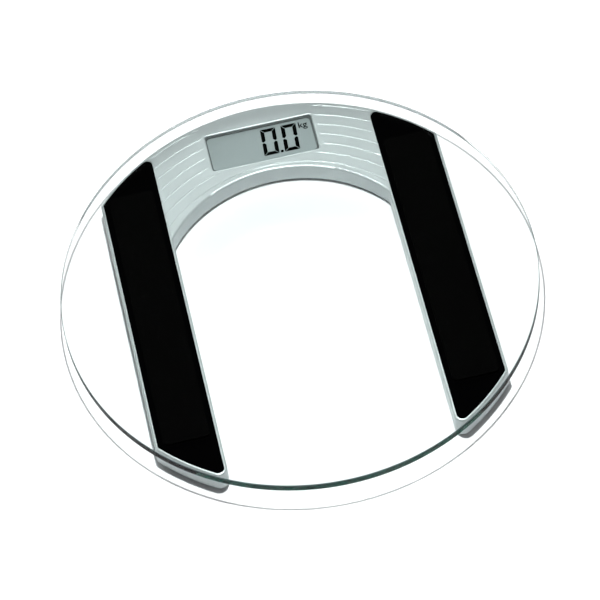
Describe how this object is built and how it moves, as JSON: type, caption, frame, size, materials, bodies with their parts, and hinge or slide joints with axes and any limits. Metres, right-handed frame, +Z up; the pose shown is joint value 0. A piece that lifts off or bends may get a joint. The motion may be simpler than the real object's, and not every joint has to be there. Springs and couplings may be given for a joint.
{
  "type": "digital bathroom scale",
  "caption": "Round clear glass bathroom scale on a silver arch-shaped housing with black side panels, a recessed LCD, sprung-play feet, a unit button and a coin-cell door.",
  "frame": {"origin": "on the floor, under the centre of the round glass platform", "axes": "+X to the user's right, +Y from the user towards the display, +Z up"},
  "size_m": [0.33, 0.33, 0.025],
  "materials": {
    "clear_glass": "polished, clear",
    "silver_plastic": "moulded plastic with satin silver paint",
    "black_panel_plastic": "matte",
    "black_foam_tape": "matte",
    "grey_plastic": "fine moulded texture",
    "white_plastic": "moulded",
    "zinc_steel": "zinc plated",
    "cell_steel": "nickel plated",
    "lcd_glass": "reflective grey-green liquid crystal cell",
    "conductive_rubber": "layered elastomer",
    "board_laminate": "green solder mask",
    "epoxy": "glossy epoxy",
    "ceramic": "ceramic",
    "crystal_can": "satin",
    "switch_plastic": "moulded",
    "button_plastic": "moulded",
    "nickel_steel": "nickel plated",
    "contact_metal": "nickel plated spring sheet",
    "lead_insulation": "soft insulation",
    "foot_plastic": "moulded",
    "pad_rubber": "matte",
    "gauge_coating": "silicone"
  },
  "bodies": {
    "platform": {"battery_leads": "lead_insulation", "board_capacitors": "ceramic", "board_resistors": "ceramic", "board_screws": "zinc_steel", "bottom_cover": "grey_plastic", "chip_blob": "epoxy", "clock_crystal": "crystal_can", "coin_cell": "nickel_steel", "elastomer_connectors": "conductive_rubber", "glass_platform": "clear_glass", "housing_screws": "zinc_steel", "lcd_holder": "white_plastic", "lcd_panel": "lcd_glass", "left_adhesive_tape": "black_foam_tape", "left_panel": "black_panel_plastic", "load_cell_front_left": "cell_steel", "load_cell_front_right": "cell_steel", "load_cell_rear_left": "cell_steel", "load_cell_rear_right": "cell_steel", "main_board": "board_laminate", "negative_contact": "contact_metal", "positive_contact": "contact_metal", "right_adhesive_tape": "black_foam_tape", "right_panel": "black_panel_plastic", "sensor_leads_front_left": "lead_insulation", "sensor_leads_front_right": "lead_insulation", "sensor_leads_rear_left": "lead_insulation", "sensor_leads_rear_right": "lead_insulation", "strain_gauges": "gauge_coating", "unit_switch": "switch_plastic", "upper_housing": "silver_plastic"},
    "foot_front_left": {"foot_front_left": "foot_plastic", "foot_pad_front_left": "pad_rubber"},
    "foot_front_right": {"foot_front_right": "foot_plastic", "foot_pad_front_right": "pad_rubber"},
    "foot_rear_left": {"foot_rear_left": "foot_plastic", "foot_pad_rear_left": "pad_rubber"},
    "foot_rear_right": {"foot_rear_right": "foot_plastic", "foot_pad_rear_right": "pad_rubber"},
    "unit_button": {"unit_button": "button_plastic", "switch_plunger": "switch_plastic"},
    "battery_door": {"battery_door": "grey_plastic"}
  },
  "joints": [
    {"name": "foot_front_left_hang", "type": "slide", "parent": "platform", "child": "foot_front_left", "axis": [0, 0, -1], "range_m": [0, 0.0008]},
    {"name": "foot_front_right_hang", "type": "slide", "parent": "platform", "child": "foot_front_right", "axis": [0, 0, -1], "range_m": [0, 0.0008]},
    {"name": "foot_rear_left_hang", "type": "slide", "parent": "platform", "child": "foot_rear_left", "axis": [0, 0, -1], "range_m": [0, 0.0008]},
    {"name": "foot_rear_right_hang", "type": "slide", "parent": "platform", "child": "foot_rear_right", "axis": [0, 0, -1], "range_m": [0, 0.0008]},
    {"name": "unit_button_press", "type": "slide", "parent": "platform", "child": "unit_button", "axis": [0, 0, 1], "range_m": [0, 0.0005], "stiffness_N_per_m": 2000},
    {"name": "battery_door_turn", "type": "hinge", "parent": "platform", "child": "battery_door", "pos_m": [0.066, 0.108, 0.002], "axis": [0, 0, -1], "range_deg": [0, 60]}
  ]
}
